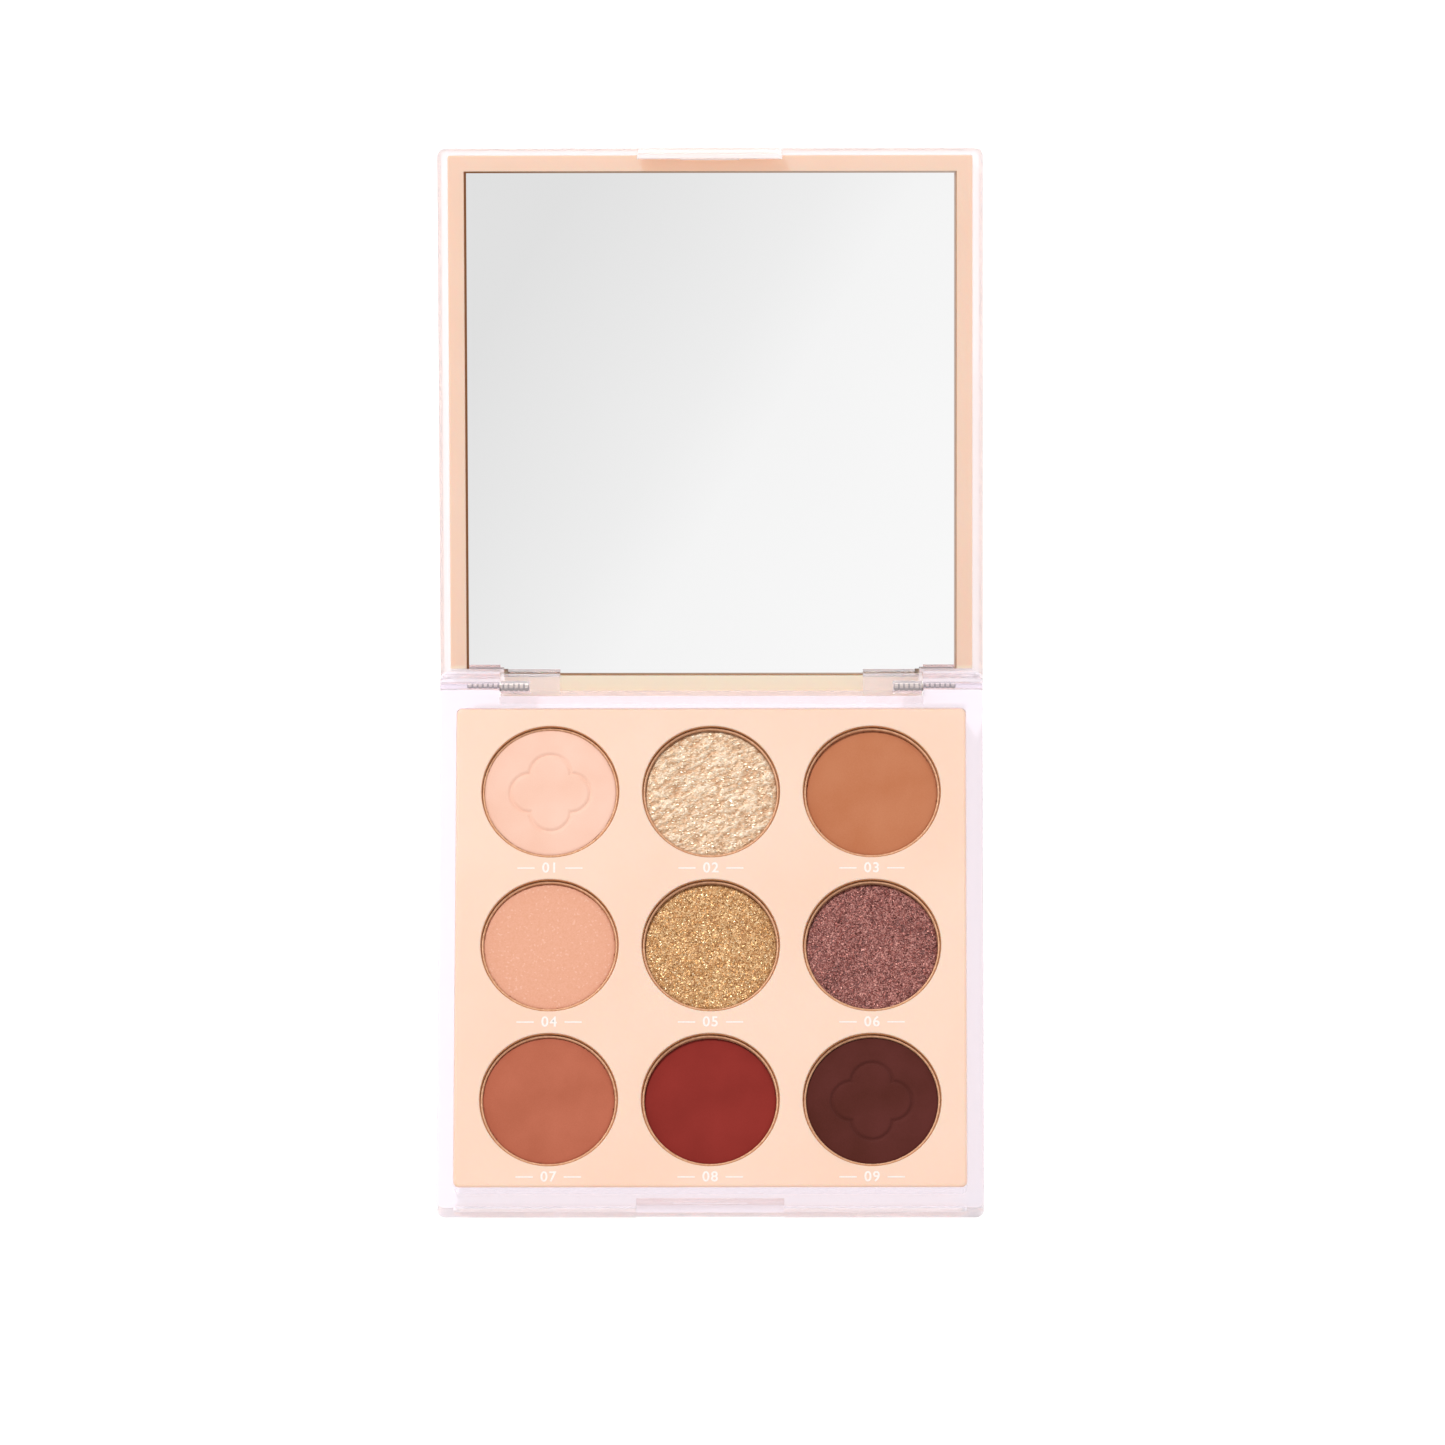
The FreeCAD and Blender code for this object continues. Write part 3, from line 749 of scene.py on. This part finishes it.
# %% [markdown]
# ## Loose flakes on the mica and foil shades
# The brightest points are single flakes that stand a little proud and face their own
# way. There are thousands, so a Geometry Nodes tree scatters them: it fills a circle,
# picks points, puts a six-sided flake on each with a random size, turn and tilt, stores a
# random tone, and ends in plain mesh. The seed is fixed so that every run is the same.


# %% A tree that scatters flakes on a disc
FLAKE_SMALL, FLAKE_LARGE = 0.55, 1.25      # share of the flake radius


def scatter_tree():
    tree = bpy.data.node_groups.new("scatter_flakes", "GeometryNodeTree")
    face = tree.interface
    face.new_socket("Geometry", in_out="OUTPUT", socket_type="NodeSocketGeometry")
    for label, kind in (("Geometry", "Geometry"), ("Disc Radius", "Float"), ("Flake Radius", "Float"),
                        ("Per Square Metre", "Float"), ("Tilt", "Float"), ("Stretch", "Float"),
                        ("Turn Spread", "Float"), ("Seed", "Int"), ("Finish", "Material")):
        face.new_socket(label, in_out="INPUT", socket_type="NodeSocket" + kind)
    given = tree.nodes.new("NodeGroupInput").outputs
    disc = add(tree, "GeometryNodeMeshCircle", {"fill_type": "NGON"}, Vertices=64,
               Radius=given["Disc Radius"])
    points = add(tree, "GeometryNodeDistributePointsOnFaces", Mesh=disc.outputs[0],
                 Density=given["Per Square Metre"], Seed=given["Seed"])
    flake = add(tree, "GeometryNodeMeshCircle", {"fill_type": "NGON"}, Vertices=6,
                Radius=given["Flake Radius"])
    shape = add(tree, "ShaderNodeCombineXYZ", X=given["Stretch"], Y=1.0, Z=1.0)
    long_flake = add(tree, "GeometryNodeTransform", Geometry=flake.outputs[0], Scale=shape.outputs[0])
    high = add(tree, "ShaderNodeCombineXYZ", X=given["Tilt"], Y=given["Tilt"], Z=given["Turn Spread"])
    low = add(tree, "ShaderNodeVectorMath", {"operation": "SCALE"}, i0=high.outputs[0], Scale=-1.0)
    turn = add(tree, "FunctionNodeRandomValue", {"data_type": "FLOAT_VECTOR"}, i0=low.outputs[0],
               i1=high.outputs[0], Seed=given["Seed"])
    size = add(tree, "FunctionNodeRandomValue", {"data_type": "FLOAT"}, i2=FLAKE_SMALL, i3=FLAKE_LARGE,
               Seed=7)
    put = add(tree, "GeometryNodeInstanceOnPoints", Points=points.outputs["Points"],
              Instance=long_flake.outputs[0], Rotation=turn.outputs[0], Scale=size.outputs[1])
    tone = add(tree, "FunctionNodeRandomValue", {"data_type": "FLOAT"}, i2=0.0, i3=1.0, Seed=11)
    keep = add(tree, "GeometryNodeStoreNamedAttribute", {"data_type": "FLOAT", "domain": "INSTANCE"},
               Geometry=put.outputs[0], Name="tone", Value=tone.outputs[1])
    real = add(tree, "GeometryNodeRealizeInstances", Geometry=keep.outputs[0])
    done = add(tree, "GeometryNodeSetMaterial", Geometry=real.outputs[0], Material=given["Finish"])
    feed(add(tree, "NodeGroupOutput"), Geometry=done.outputs[0])
    return tree


def bake_tree(name, tree, **inputs):
    """Runs a tree once on an empty mesh and returns the result as plain mesh data."""
    seed_mesh = bpy.data.meshes.new(name + "_seed")
    seed = bpy.data.objects.new(name + "_seed", seed_mesh)
    scene.collection.objects.link(seed)
    mod = seed.modifiers.new("tree", "NODES")
    mod.node_group = tree
    wanted = {key.replace("_", " "): value for key, value in inputs.items()}
    for item in tree.interface.items_tree:
        if item.in_out == "INPUT" and item.name in wanted:
            mod[item.identifier] = wanted[item.name]
    bpy.context.view_layer.update()
    mesh = bpy.data.meshes.new_from_object(seed.evaluated_get(bpy.context.evaluated_depsgraph_get()))
    seed.modifiers.clear()
    bpy.data.objects.remove(seed)
    mesh.name = name
    # generated faces come with an empty slot first, so only the finish itself is kept
    mesh.materials.clear()
    mesh.materials.append(inputs["Finish"])
    mesh.polygons.foreach_set("material_index", [0] * len(mesh.polygons))
    return mesh


flakes = scatter_tree()


DISC_INSET, LEVEL = mm(0.5), mm(0.03)


def sprinkle(n, mat, radius, count, tilt, stretch=1.0, turn_spread=3.14):
    """Flakes just low enough that the largest, fully tilted, stays under the top of the powder."""
    low, high = (Vector(c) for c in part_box("powder_%d" % n))
    disc = (high.x - low.x) / 2 - DISC_INSET
    mesh = bake_tree("flakes_%d" % n, flakes, Disc_Radius=disc, Flake_Radius=mm(radius),
                     Per_Square_Metre=count / (math.pi * disc ** 2), Tilt=tilt, Stretch=stretch,
                     Turn_Spread=turn_spread, Seed=n, Finish=mat)
    sink = mm(radius * stretch * FLAKE_LARGE) * math.sin(tilt) + LEVEL
    mesh.transform(Matrix.Translation(((low.x + high.x) / 2, (low.y + high.y) / 2, high.z - sink)))
    piece = bpy.data.objects.new("flakes_%d" % n, mesh)
    scene.collection.objects.link(piece)
    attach(piece, "base")
    print(piece.name, len(mesh.polygons), "flakes")


# %% Sprinkle the mica and foil shades
GOLD = [(0.0, "8E5A2C"), (0.5, "C38F58"), (0.85, "E6BF8C"), (1.0, "FAE0BA")]
PLUM = [(0.0, "3C1814"), (0.6, "864640"), (0.9, "C07C72"), (1.0, "DCA296")]
CHAMPAGNE = [(0.0, "C29470"), (0.4, "E2C29E"), (0.8, "F6E4C8"), (1.0, "FCF2E0")]
sprinkle(5, flake_mica("mica_flakes_gold", GOLD, 0.45), 0.14, 4800, 0.24)
sprinkle(6, flake_mica("mica_flakes_plum", PLUM, 0.5), 0.12, 4200, 0.18)
sprinkle(2, flake_mica("foil_flakes_champagne", CHAMPAGNE, 0.5), 0.12, 1500, 0.26, 2.0, 0.5)

# %% [markdown]
# ## Hinge pins
# Each hinge turns on a steel pin 1.6 mm thick, pushed into the ear of the base. The pin is
# knurled so that it grips the plastic. The knurl is a rule, so a tree makes it: a plain
# core with a ring of thin ribs set on its edge, repeated along the pin in short bands.
# The pin's front is painted dark as shade and its far side painted bright as a highlight; its grooves carry
# painted shade and its crests a painted highlight.


# %% Knurled pin
PIN_LENGTH, RIB_SIZE, RIBS, BANDS, BAND_SHARE = mm(11.8), mm(0.2), 16, 12, 0.62
PIN_INSIDE = 0.97              # the knurl stays this share of the CAD radius
FRONT_SHADE_FROM, FRONT_SHADE_TO = -0.55, -0.05      # mm in front of the hinge axis


def knurl_tree():
    tree = bpy.data.node_groups.new("knurled_pin", "GeometryNodeTree")
    face = tree.interface
    face.new_socket("Geometry", in_out="OUTPUT", socket_type="NodeSocketGeometry")
    for label, kind in (("Geometry", "Geometry"), ("Radius", "Float"), ("Length", "Float"),
                        ("Ribs", "Int"), ("Rib Size", "Float"), ("Bands", "Int"), ("Finish", "Material")):
        face.new_socket(label, in_out="INPUT", socket_type="NodeSocket" + kind)
    given = tree.nodes.new("NodeGroupInput").outputs
    inner = add(tree, "ShaderNodeMath", {"operation": "SUBTRACT"}, i0=given["Radius"], i1=given["Rib Size"])
    core = add(tree, "GeometryNodeMeshCylinder", Vertices=32, Radius=inner.outputs[0], Depth=given["Length"])
    ring = add(tree, "GeometryNodeMeshCircle", Vertices=given["Ribs"], Radius=inner.outputs[0])
    pitch = add(tree, "ShaderNodeMath", {"operation": "DIVIDE"}, i0=given["Length"], i1=given["Bands"])
    rib_len = add(tree, "ShaderNodeMath", {"operation": "MULTIPLY"}, i0=pitch.outputs[0], i1=BAND_SHARE)
    rib_box = add(tree, "ShaderNodeCombineXYZ", X=given["Rib Size"], Y=given["Rib Size"],
                  Z=rib_len.outputs[0])
    rib = add(tree, "GeometryNodeMeshCube", Size=rib_box.outputs[0])
    at = add(tree, "GeometryNodeInputPosition")
    aim = add(tree, "FunctionNodeAlignRotationToVector", {"axis": "X"}, Vector=at.outputs[0])
    quarter = add(tree, "FunctionNodeRotateRotation", {"rotation_space": "LOCAL"}, Rotation=aim.outputs[0],
                  Rotate_By=(0, 0, math.pi / 4))
    ribs = add(tree, "GeometryNodeInstanceOnPoints", Points=ring.outputs[0], Instance=rib.outputs[0],
               Rotation=quarter.outputs[0])
    step = add(tree, "ShaderNodeCombineXYZ", X=0.0, Y=0.0, Z=pitch.outputs[0])
    spare = add(tree, "ShaderNodeMath", {"operation": "SUBTRACT"}, i0=pitch.outputs[0], i1=given["Length"])
    first = add(tree, "ShaderNodeMath", {"operation": "MULTIPLY"}, i0=spare.outputs[0], i1=0.5)
    start = add(tree, "ShaderNodeCombineXYZ", X=0.0, Y=0.0, Z=first.outputs[0])
    line = add(tree, "GeometryNodeMeshLine", {"mode": "OFFSET"}, Count=given["Bands"],
               Start_Location=start.outputs[0], Offset=step.outputs[0])
    bands = add(tree, "GeometryNodeInstanceOnPoints", Points=line.outputs[0], Instance=ribs.outputs[0])
    both = tree.nodes.new("GeometryNodeJoinGeometry")
    tree.links.new(core.outputs[0], both.inputs[0])
    tree.links.new(bands.outputs[0], both.inputs[0])
    real = add(tree, "GeometryNodeRealizeInstances", Geometry=both.outputs[0])
    done = add(tree, "GeometryNodeSetMaterial", Geometry=real.outputs[0], Material=given["Finish"])
    feed(add(tree, "NodeGroupOutput"), Geometry=done.outputs[0])
    return tree


def knurled_steel(core, crest):
    """Painted highlight on the crests of the knurl and painted shade in its grooves, between two radii in
    mm; the front of the pin is painted dark as shade.
    """
    mat, tree, shader = new_material("steel_knurled", Metallic=0.7, Roughness=0.3)
    off_axis = add(tree, "ShaderNodeVectorMath", {"operation": "LENGTH"},
                   i0=place(tree, centre=hinge, stretch=(0, 1, 1)))
    height = add(tree, "ShaderNodeMapRange", Value=off_axis.outputs["Value"], From_Min=core, From_Max=crest)
    blotch_noise = add(tree, "ShaderNodeTexNoise", Vector=place(tree), Scale=1.3, Detail=3.0)
    flank = add(tree, "ShaderNodeSeparateXYZ", Vector=place(tree, centre=hinge))
    painted_front_shade = add(tree, "ShaderNodeMapRange", Value=flank.outputs["Y"], From_Min=FRONT_SHADE_FROM,
                  From_Max=FRONT_SHADE_TO)
    clean = add(tree, "ShaderNodeMath", {"operation": "MULTIPLY_ADD"}, i0=blotch_noise.outputs[0], i1=0.3,
                i2=height.outputs[0])
    both = add(tree, "ShaderNodeMath", {"operation": "MULTIPLY"}, i0=clean.outputs[0],
               i1=painted_front_shade.outputs[0])
    # the dark stop is painted shade and the cream stop a painted highlight
    steel = [(0.1, "2A211C"), (0.45, "B8ACA0"), (0.8, "FFF8EC")]
    tone = add(tree, "ShaderNodeValToRGB", {"stops": steel}, Fac=both.outputs[0])
    feed(shader, Base_Color=tone.outputs[0])
    return mat


low, high = (Vector(c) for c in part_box("hinge_pins"))
pin_radius = (high.z - low.z) / 2 * PIN_INSIDE
steel = knurled_steel(0.58, 0.72)
knurl = bake_tree("hinge_pins_knurled", knurl_tree(), Radius=pin_radius, Length=PIN_LENGTH,
                  Ribs=RIBS, Rib_Size=RIB_SIZE, Bands=BANDS, Finish=steel)
verts, faces = [], []
for sign in (-1, 1):
    to_place = Matrix.Translation((sign * (high.x - PIN_LENGTH / 2), hinge.y, hinge.z))
    laid = to_place @ Matrix.Rotation(math.pi / 2, 4, "Y")
    start = len(verts)
    verts += [tuple(laid @ v.co) for v in knurl.vertices]
    faces += [tuple(start + i for i in p.vertices) for p in knurl.polygons]
pins = mesh_object("hinge_pins_knurled", verts, faces, steel, smooth=False)
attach(pins, "base")
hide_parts("hinge_pins")
print("pins", len(pins.data.polygons), "faces")

# %% [markdown]
# ## Printed numbers
# Each pan has its shade number pad-printed in white below it, between two short dashes.
# A pad print is a film of ink a few hundredths of a millimetre thick, so the digits are
# made as text, turned into mesh and laid just above the tray face.


# %% Numbers under the pans
def white_ink():
    mat, tree, shader = new_material("ink_white_pad_print", Roughness=0.5)
    thin = add(tree, "ShaderNodeTexNoise", Vector=place(tree), Scale=3.0, Detail=3.0)
    tone = add(tree, "ShaderNodeValToRGB", {"stops": [(0.3, "FFEFE6"), (0.7, "FFFAF5")]},
               Fac=thin.outputs[0])
    feed(shader, Base_Color=tone.outputs[0])
    return mat


def number_mesh(text, size):
    """Digits as plain mesh; the offset makes their strokes a little bolder."""
    curve = bpy.data.curves.new("digits", "FONT")
    curve.body, curve.size, curve.extrude, curve.offset = text, size, mm(0.008), mm(0.05)
    curve.align_x, curve.align_y = "CENTER", "CENTER"
    curve.space_character = 1.15
    obj = bpy.data.objects.new("digits", curve)
    scene.collection.objects.link(obj)
    bpy.context.view_layer.update()
    mesh = bpy.data.meshes.new_from_object(obj.evaluated_get(bpy.context.evaluated_depsgraph_get()))
    bpy.data.objects.remove(obj)
    return mesh


DIGIT_SIZE, BELOW_PAN, INK_LIFT = mm(2.8), mm(15.3), mm(0.012)
DASH_FROM, DASH_TO, DASH_HALF, DASH_LIFT = mm(2.9), mm(6.2), mm(0.14), mm(0.006)
verts, faces = [], []
for n in PANS:
    pan_middle = cake_centre(n)
    spot = Matrix.Translation((pan_middle.x, pan_middle.y - BELOW_PAN, tray_top + INK_LIFT))
    digits = number_mesh("%02d" % n, DIGIT_SIZE)
    digits.transform(spot)
    start = len(verts)
    verts += [tuple(v.co) for v in digits.vertices]
    faces += [tuple(start + i for i in p.vertices) for p in digits.polygons]
    for sign in (-1, 1):
        start = len(verts)
        for dx, dy in ((DASH_FROM, -DASH_HALF), (DASH_TO, -DASH_HALF), (DASH_TO, DASH_HALF),
                       (DASH_FROM, DASH_HALF)):
            verts.append(tuple(spot @ Vector((sign * dx, dy, DASH_LIFT))))
        faces.append(tuple(start + i for i in ((0, 1, 2, 3) if sign > 0 else (3, 2, 1, 0))))
ink = mesh_object("shade_numbers", verts, faces, white_ink(), smooth=False)
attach(ink, "base")
print("numbers", len(faces), "faces")
